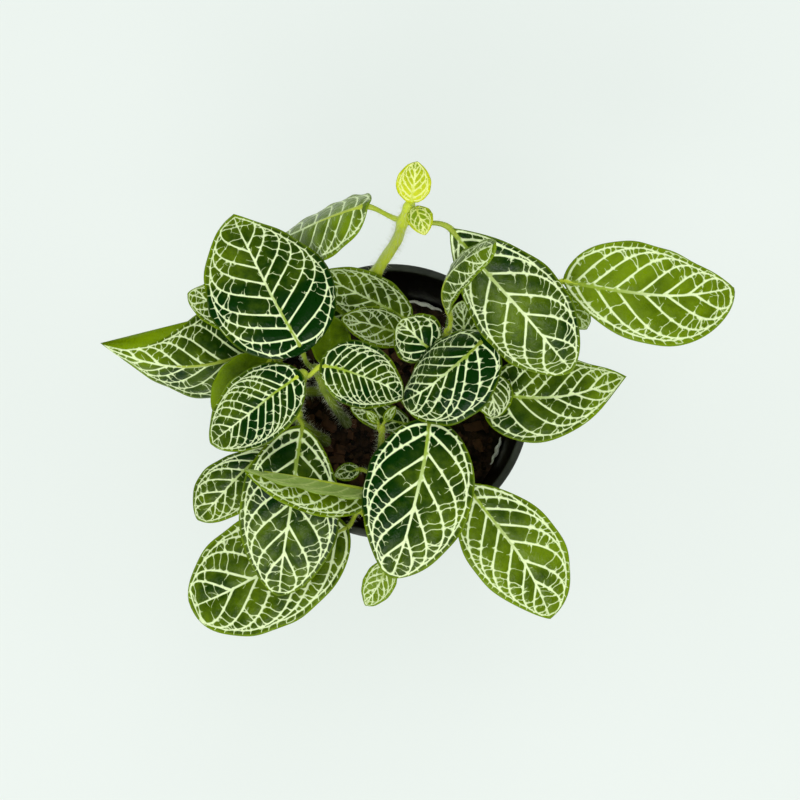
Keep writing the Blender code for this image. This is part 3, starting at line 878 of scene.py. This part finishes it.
def veinPoints(net, ring, points):
    # adds the veins' points to the list; gives the edges between them and two rows beside each vein
    edges, beside = [], []
    for line, wide in net.lines:
        ok = inside(line, ring) & (edgeDistance(line, ring) > 0.15)
        ok[0] = ok[0] or line[0][0] > 0
        run = np.gradient(line, axis=0)
        square = unit(np.stack([-run[:, 1], run[:, 0]], 1) + 1e-12)
        for sign in (1, -1):
            beside.append((line + square * sign * (wide[:, None] + 0.12))[ok])
        previous = None
        for good, p in zip(ok, line):
            if not good:
                previous = None
                continue
            points.append((float(p[0]), float(p[1])))
            if previous is not None:
                edges.append((previous, len(points) - 1))
            previous = len(points) - 1
    return edges, np.concatenate(beside)


def gridPoints(ring, rng):
    # rows of points over the blade, every other row half a step aside, each point moved a little
    step = bladeForm["grid"]
    low, high = ring.min(0), ring.max(0)
    rows = []
    for k, y in enumerate(np.arange(low[1], high[1], step * 0.87)):
        for x in np.arange(low[0] + (k % 2) * step / 2, high[0], step):
            rows.append((x + rng.uniform(-0.2, 0.2), y + rng.uniform(-0.2, 0.2)))
    return np.array(rows)


def flatMesh(blade, net, rng):
    # triangles of the flat blade that follow every vein
    ring = outline(blade)
    points = [tuple(p) for p in ring]
    edges, beside = veinPoints(net, ring, points)
    beside = wellInside(beside, ring, 0.3)
    level, _ = net.levels(beside)
    beside = thinOut(beside[(level < -0.05) & (level > -0.3)], 0.3)
    between = wellInside(gridPoints(ring, rng), ring, 0.35)
    level, _ = net.levels(between)
    between = between[level < -0.45]
    points += [tuple(p) for p in beside.tolist()] + [tuple(p) for p in between.tolist()]
    corners, _, triangles, _, _, _ = delaunay_2d_cdt(
        [Vector(p) for p in points], edges, [list(range(len(ring)))], 1, 1e-4, False)
    return np.array([tuple(p) for p in corners]), triangles, ring


def bladeLift(blade, flat, level, main, edge, plain):
    # how far each point stands up: lamina swollen between sunken veins, and a waved margin
    flatness = np.clip(edge / bladeForm["flatRim"], 0, 1)
    puff = bladeForm["puff"] * min(1, blade.half / 12) * (0 if plain else 1)
    lift = puff * (1 - np.exp(-(main / bladeForm["puffRun"]) ** 2)) * flatness
    small = 1 - np.exp(-(np.maximum(0, -level) / bladeForm["smallRun"]) ** 2)
    lift += bladeForm["smallPuff"] * puff * small * flatness
    t = flat[:, 0] / blade.length
    return lift + bladeForm["ripple"] * (1 - flatness) * np.sin(t * 26 + np.sign(flat[:, 1]) * 1.3 + 2)


def bladeFaces(build, flat, triangles, top, under):
    # the triangles on top, the same turned over underneath, and a strip round the edge
    uses = {}
    for tri in triangles:
        p, q, r = (flat[i] for i in tri)
        if (q[0] - p[0]) * (r[1] - p[1]) - (q[1] - p[1]) * (r[0] - p[0]) < 0:
            tri = tri[::-1]
        build.face([top + i for i in tri], topSlot)
        build.face([under + i for i in reversed(tri)], underSlot)
        for i in range(3):
            uses[(tri[i], tri[(i + 1) % 3])] = True
    for i, j in uses:
        if (j, i) not in uses:
            build.face((top + j, top + i, under + i, under + j), topSlot)


stalkPoints = 11   # the first points of a leaf's stalk, before it runs on as a keel


def stalkLine(values, blade, stem):
    # from inside the stem to under the blade, where the stalk runs on as the midrib's keel
    at = values["at"]
    heart, run = stem.at(at), stem.along(at)
    base = Vector(blade.ends[0])
    along, _, up = (Vector(v[0]) for v in blade.frame(np.array([0.0])))
    if at >= 1:
        out = run
        start = heart - run
    else:
        out = base - heart
        out = (out - run * out.dot(run)).normalized()
        start = heart + out * (stem.radius(at) * 0.4)
        stem.knots.append(at)
    pull = (base - start).length * 0.4
    thickness = values.get("stalk", 1.0)
    drop = up * (-thickness * 0.75)
    guides = [np.array(v) for v in (start, start + out * pull, base - along * pull + drop, base + drop)]
    shares = np.linspace(0, 1, stalkPoints)
    path = [Vector(bezier(*guides, s)) for s in shares]
    radii = [thickness * (1.25 - 0.4 * math.sin(math.pi * s ** 0.8)) for s in shares]
    for s in np.linspace(0.04, 0.85, 16):
        keel = thickness * (0.75 * (1 - s) ** 0.8 + 0.1)
        spot = blade.at(np.array([s * blade.length]), 0.0, -bladeForm["thick"] - keel * 0.45)
        path.append(Vector(spot[0]))
        radii.append(keel)
    return path, radii


def addHairs(build, path, radii, count, reach, rng):
    for k in range(len(path) - 1):
        along = path[k + 1] - path[k]
        side = along.normalized().orthogonal().normalized()
        other = along.normalized().cross(side)
        for _ in range(max(1, int(count * along.length / 6))):
            f, a = rng.random(), rng.uniform(0, 2 * math.pi)
            way = side * math.cos(a) + other * math.sin(a)
            root = path[k] + along * f + way * ((radii[k] * (1 - f) + radii[k + 1] * f) * 0.97)
            way = way + along.normalized() * rng.uniform(-0.4, 0.4)
            build.hair(root, root + way * reach * rng.uniform(0.4, 1.2))


shapeKeys = ("base", "tip", "width", "rise", "side", "roll", "fold", "curl", "lobe", "blunt", "full", "right")


def makeLeaf(name, values):
    rng = random.Random(name)
    young, plain = values.get("young"), values.get("plain")
    blade = Blade(**{key: values[key] for key in shapeKeys if key in values})
    net = VeinNet(blade, values.get("ribs", 6), values.get("reach", 1.05), values.get("bold", 0.96), rng)
    flat, triangles, ring = flatMesh(blade, net, rng)
    level, main = net.levels(flat)
    edge = edgeDistance(flat, ring)
    t = flat[:, 0] / blade.length
    lift = bladeLift(blade, flat, level, main, edge, plain)
    thinEdge = bladeForm["thinEdge"]
    thick = bladeForm["thick"] * (thinEdge + (1 - thinEdge) * np.clip(edge / 1.5, 0, 1))
    if plain:
        level = np.minimum(level, -0.05 - 0.2 * (np.abs(flat[:, 1]) > 0.6))
    rib = np.clip(1.25 - t * 1.7, 0, 1) * (np.abs(flat[:, 1]) < 0.9) * values.get("ribLight", 0.85)
    tones = values["tone"] + values.get("tipTone", 0.12) * (t - 0.5) * 2
    # painted sheen and shade: the side value lightens one half of the blade and darkens the other, as though
    # the two halves faced the light differently
    tones = tones + values.get("paintedSideLight", 0) * np.clip(flat[:, 1] / blade.half, -1, 1)
    build = Build()
    top = build.points(blade.at(flat[:, 0], flat[:, 1], lift), level, edge, rib, tones)
    under = build.points(blade.at(flat[:, 0], flat[:, 1], lift * 0.9 - thick), level, edge, rib, tones)
    bladeFaces(build, flat, triangles, top, under)

    path, radii = stalkLine(values, blade, stemShapes[values["stem"]])
    pale = 0.35 if young or values.get("ribLight") else 0.0
    build.tube(path, radii, skinSlot, 10, tone=0.25 + 0.5 * values["tone"] + pale)
    addHairs(build, path[:stalkPoints], radii[:stalkPoints], hairForm["onStalk"], hairForm["stalkReach"], rng)
    looks = [leafLooks["youngTop" if young else "leafTop"], leafLooks["leafUnder"], stemSkin, softHair]
    piece = build.finish("nerveLeaf_" + name, looks)
    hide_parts("leaf_" + name)
    return len(build.verts)


total = sum(makeLeaf(name, values) for name, values in leaves.items())
print("leaves made,", total, "points")

# buried is in mm; knot and uneven are shares of the radius, a knot's run is a share of the stem
stemForm = {"steps": 26, "sides": 16, "buried": 3, "knot": 0.35, "knotRun": 0.035, "uneven": 0.03}


def makeStem(name, stem):
    rng = random.Random("stem " + name)
    steps = stemForm["steps"]
    path, radii, tones = [], [], []
    for k in range(steps + 1):
        t = k / steps
        # swollen where stalks leave
        knot = sum(stemForm["knot"] * math.exp(-((t - at) / stemForm["knotRun"]) ** 2)
                   for at in set(stem.knots))
        path.append(stem.at(t))
        radii.append(stem.radius(t) * (1 + min(0.4, knot) + stemForm["uneven"] * math.sin(k * 1.7)))
        tones.append(stem.tones[0] + (stem.tones[1] - stem.tones[0]) * t)
    # a thicker foot in the soil and a blunt top
    foot = stem.points[0] - Vector((0, 0, stemForm["buried"]))
    path = [foot, *path, path[-1] + stem.along(1) * 0.8]
    radii = [radii[0] * 1.15, *radii, radii[-1] * 0.55]
    tones = [tones[0], *tones, tones[-1]]
    build = Build()
    build.tube(path, radii, skinSlot, stemForm["sides"], tone=tones)
    addHairs(build, path[1:-1], radii[1:-1], hairForm["onStem"], hairForm["stemReach"], rng)
    looks = [leafLooks["leafTop"], leafLooks["leafUnder"], stemSkin, softHair]
    piece = build.finish("stem_" + name + "_skin", looks)
    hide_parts("stem_" + name)


for name, stem in stemShapes.items():
    makeStem(name, stem)
print("stems made")

# mm; base is the foot's radius, step is how far the body's inside lies within the lip's, holeRing is
# a share of the base and firstHole is in degrees
potShape = {"lip": 3.0, "band": 15.0, "base": 37.5, "wall": 1.3, "step": 3.1, "sides": 144,
            "holes": 6, "holeRadius": 4.2, "holeRing": 0.66, "firstHole": 33}
potLook = {"plastic": srgb(6, 6, 6), "dustAndSheen": srgb(58, 62, 56), "roughness": 0.34, "dustRoughness": 0.3}


def makePotMaterial():
    mat, tree, shader = newMaterial("potPlastic")
    # the lip carries a painted highlight, pale grey laid into its colour, with some dust; the walls are
    # nearly black with a film of dust and a few specks
    film = ramp(tree, noise(tree, 90, 4), 0.52, 0.8, 0.0, 0.3)
    # painted highlight: the tone read here is highest over the lip, so the pale colour shows there as painted
    # sheen, with some dust
    lipSheenAndWear = maths(tree, "MULTIPLY", reading(tree, "tone"), ramp(tree, noise(tree, 210), 0.2, 0.7, 0.55, 1.0))
    dustAndSheen = maths(tree, "ADD", film, lipSheenAndWear)
    specks = ramp(tree, noise(tree, 1300, 2), 0.7, 0.78, 0.0, 0.5)
    colour = blend(tree, maths(tree, "MAXIMUM", dustAndSheen, specks), potLook["plastic"], potLook["dustAndSheen"])
    tree.links.new(colour, shader.inputs["Base Color"])
    rough = maths(tree, "MULTIPLY_ADD", dustAndSheen, potLook["dustRoughness"], potLook["roughness"])
    tree.links.new(rough, shader.inputs["Roughness"])
    roughen(tree, shader, noise(tree, 800, 2), 0.3, 0.0002)
    return mat


def innerWall(z):
    # the inner wall's radius at height z
    wall = potShape["wall"]
    low, high = potShape["base"] - wall, rimRadius - potShape["lip"] - potShape["step"]
    return low + (high - low) * (z - wall) / (rimHeight - potShape["band"] - wall)


def potProfile():
    # radius, height, and the share of dust and painted highlight, which is highest on the lip: up the
    # outside, over the lip and down the inside
    top, rim, base, wall = rimHeight, rimRadius, potShape["base"], potShape["wall"]
    lipIn = rim - potShape["lip"]
    under = top - potShape["band"]
    bodyTop = innerWall(under) + wall
    profile = [(base * 0.3, 0, 0.3), (base - 1.2, 0, 0.3), (base - 0.35, 0.35, 0.3), (base, 1.2, 0.2)]
    profile += [(base + (bodyTop - base) * f, 1.2 + (under - 2.4) * f, 0.05) for f in (0.25, 0.5, 0.75, 1)]
    profile += [(bodyTop + 0.5, under - 0.4, 0.1), (rim - 2.5, under, 0.2), (rim - 2.2, under + 0.5, 0.1),
                (rim - 1.35, top - 3.9, 0.1), (rim - 1.2, top - 3.2, 0.3), (rim - 0.35, top - 2.8, 0.5)]
    for k in range(7):   # the lip's outer rounding
        a = math.pi / 2 * k / 6
        profile.append((rim - 0.9 + 0.9 * math.cos(a), top - 0.9 + 0.9 * math.sin(a), 0.6 + 0.06 * k))
    profile += [(rim - 1.8, top, 1.0), (lipIn + 0.6, top, 0.9), (lipIn + 0.15, top - 0.2, 0.5),
                (lipIn, top - 0.7, 0.1), (lipIn - 0.5, top - 3, 0)]
    profile += [(innerWall(z) + 0.2 * (z > under), z, 0) for z in (under + 4, under, 50, 25, wall + 1.5)]
    profile += [(base - wall - 1.4, wall, 0.1), (base * 0.3, wall, 0.1)]
    return profile


def drillHoles(piece):
    drill = Build()
    ring = potShape["base"] * potShape["holeRing"]
    for k in range(potShape["holes"]):
        a = math.radians(potShape["firstHole"] + 360 * k / potShape["holes"])
        x, y = ring * math.cos(a), ring * math.sin(a)
        drill.tube([(x, y, -4), (x, y, 6)], [potShape["holeRadius"]] * 2, 0, 40, tone=0.1)
    drill = drill.finish("drainHoles", [])
    cut = piece.modifiers.new("holes", "BOOLEAN")
    cut.operation, cut.solver, cut.object = "DIFFERENCE", "EXACT", drill
    bpy.context.view_layer.update()
    drilled = piece.evaluated_get(bpy.context.evaluated_depsgraph_get())
    cutMesh = bpy.data.meshes.new_from_object(drilled)
    piece.modifiers.clear()
    piece.data = cutMesh
    bpy.data.objects.remove(drill)


def makePot():
    build = Build()
    sides = potShape["sides"]
    profile = potProfile()
    for radius, z, dustAndSheen in profile:
        build.points(circle(radius, z, sides), tone=dustAndSheen)
    for k in range(len(profile) - 1):
        build.band(k * sides, (k + 1) * sides, sides, 0)
    build.face(range(sides - 1, -1, -1), 0)
    build.face(range((len(profile) - 1) * sides, len(profile) * sides), 0)
    piece = build.finish("nurseryPot", [makePotMaterial()])
    drillHoles(piece)
    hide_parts("pot")


# dark and light colour, and roughness; the peat and bark colours are their own colour darkened with painted
# shade from the pot's wall and the leaves above
soilColours = {
    "peat": (srgb(7, 4, 2), srgb(56, 36, 20), 0.95),
    "barkChip": (srgb(20, 11, 6), srgb(80, 50, 28), 0.8),
    "paleShred": (srgb(168, 164, 148), srgb(238, 240, 232), 0.7),
}
peatSlot, chipSlot, shredSlot = range(3)
# how many crumbs and chips, the angles in degrees between which each shred lies, the surface's mesh,
# and in mm how far it lies under the solid's top and off the wall
soilForm = {"crumbs": 900, "chips": 130, "shreds": ((63, 82), (-29, -14)), "sides": 160, "rings": 56,
            "sink": 1.2, "gap": 0.3}
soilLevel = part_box("soil")[1][2] / mm - soilForm["sink"]
soilEdge = innerWall(soilLevel) - soilForm["gap"]


def makeSoilMaterials():
    looks = []
    for name, (low, high, roughness) in soilColours.items():
        mat, tree, shader = newMaterial(name, roughness)
        shade = maths(tree, "ADD", mottle(tree, 420, 6, 1.6), reading(tree, "tone"))
        tree.links.new(blend(tree, ramp(tree, shade, 0.0, 1.0), low, high), shader.inputs["Base Color"])
        roughen(tree, shader, noise(tree, 1100, 5), 0.8, 0.0005)
        looks.append(mat)
    return looks


def soilHeight(x, y):
    calm = max(0.0, 1 - (math.hypot(x, y) / soilEdge) ** 8)
    lumps = (1.3 * noise3((x * 0.11, y * 0.11, 3)) + 0.8 * noise3((x * 0.33, y * 0.33, 7))
             + 0.45 * noise3((x * 0.9, y * 0.9, 1)))
    return soilLevel + calm * lumps


def addSoilBody(build):
    # an uneven surface of rings round the middle, closed by a flat foot in the pot
    sides, rings = soilForm["sides"], soilForm["rings"]
    build.points([(0, 0, soilHeight(0, 0))], tone=0.4)
    for k in range(1, rings + 1):
        spots = circle(soilEdge * (k / rings) ** 0.8, 0, sides)
        shades = [0.4 + 0.5 * noise3((x * 0.2, y * 0.2, 9)) for x, y, _ in spots]
        build.points([(x, y, soilHeight(x, y)) for x, y, _ in spots], tone=shades)
    build.points(circle(innerWall(5) - 1.5, 2.0, sides))
    for i in range(sides):
        j = (i + 1) % sides
        build.face((0, 1 + i, 1 + j), peatSlot)
        for k in range(rings):
            a, b = 1 + k * sides, 1 + (k + 1) * sides
            build.face((a + i, b + i, b + j, a + j), peatSlot)
    build.face(range(len(build.verts) - 1, len(build.verts) - 1 - sides, -1), peatSlot)


def ballForm():
    ball = bmesh.new()
    bmesh.ops.create_icosphere(ball, subdivisions=1, radius=1)
    form = ([tuple(v.co) for v in ball.verts], [tuple(v.index for v in f.verts) for f in ball.faces])
    ball.free()
    return form


blockForm = ([(x, y, z) for z in (-1, 1) for y in (-1, 1) for x in (-1, 1)],
             [(0, 2, 3, 1), (4, 5, 7, 6), (0, 1, 5, 4), (2, 6, 7, 3), (0, 4, 6, 2), (1, 3, 7, 5)])


def addLump(build, rng, form, middle, size, tone, slot):
    # a rough lump: the form's corners pushed about, then turned any way
    corners, faces = form
    turn = Euler([rng.uniform(-0.6, 0.6), rng.uniform(-0.6, 0.6), rng.uniform(0, 6.28)]).to_matrix()
    made = [middle + turn @ Vector([c * s * rng.uniform(0.7, 1.25) for c, s in zip(corner, size)])
            for corner in corners]
    first = build.points(made, tone=tone)
    for face in faces:
        build.face([first + f for f in face], slot)


def addLitter(build, rng):
    # crumbs of peat, then bark chips, strewn evenly over the surface
    ball = ballForm()
    for k in range(soilForm["crumbs"] + soilForm["chips"]):
        r, a = (soilEdge - 2.5) * math.sqrt(rng.random()), rng.uniform(0, 2 * math.pi)
        x, y = r * math.cos(a), r * math.sin(a)
        if k < soilForm["crumbs"]:
            size = rng.uniform(0.4, 1.5)
            middle = Vector((x, y, soilHeight(x, y) + size * 0.2))
            sizes = (size, size * 0.9, size * 0.7)
            addLump(build, rng, ball, middle, sizes, rng.uniform(0.1, 0.9), peatSlot)
        else:
            size = rng.uniform(1.3, 4.0)
            middle = Vector((x, y, soilHeight(x, y) + 0.6))
            sizes = (size, size * rng.uniform(0.4, 0.7), rng.uniform(0.4, 0.9))
            addLump(build, rng, blockForm, middle, sizes, rng.uniform(0.2, 0.9), chipSlot)


def addShreds(build, rng):
    # two pale slivers lying along the wall at the soil's edge
    for low, high in soilForm["shreds"]:
        path, radii = [], []
        for k in range(15):
            a = math.radians(low + (high - low) * k / 14)
            r = soilEdge - 0.9 + 0.25 * math.sin(k * 1.3)
            path.append((r * math.cos(a), r * math.sin(a), soilLevel + 1.4 + 0.3 * math.sin(k * 0.9)))
            radii.append(0.2 + 0.7 * math.sin(math.pi * k / 14) * rng.uniform(0.8, 1.1))
        build.tube(path, radii, shredSlot, 10, tone=0.8)


def makeSoil():
    rng = random.Random("soil")
    build = Build()
    addSoilBody(build)
    addLitter(build, rng)
    addShreds(build, rng)
    piece = build.finish("plantSoil", makeSoilMaterials(), smooth=False)
    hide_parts("soil")


makePot()
makeSoil()
print("pot and soil made")

floorLook = {"paper": (0.20, 0.20, 0.20, 1), "glow": srgb(235, 245, 239), "share": 0.75, "reach": 40}


def makeFloor():
    mat, _, shader = newMaterial("floorPaper", 0.9)
    shader.inputs["Base Color"].default_value = floorLook["paper"]
    shader.inputs["Emission Color"].default_value = floorLook["glow"]
    shader.inputs["Emission Strength"].default_value = floorLook["share"]
    far = floorLook["reach"]   # metres, so that low views don't see its edge
    mesh = bpy.data.meshes.new("floor")
    mesh.from_pydata([(-far, -far, 0), (far, -far, 0), (far, far, 0), (-far, far, 0)], [], [(0, 1, 2, 3)])
    mesh.materials.append(mat)
    floor = bpy.data.objects.new("floor", mesh)
    scene.collection.objects.link(floor)


makeFloor()
print("floor laid")
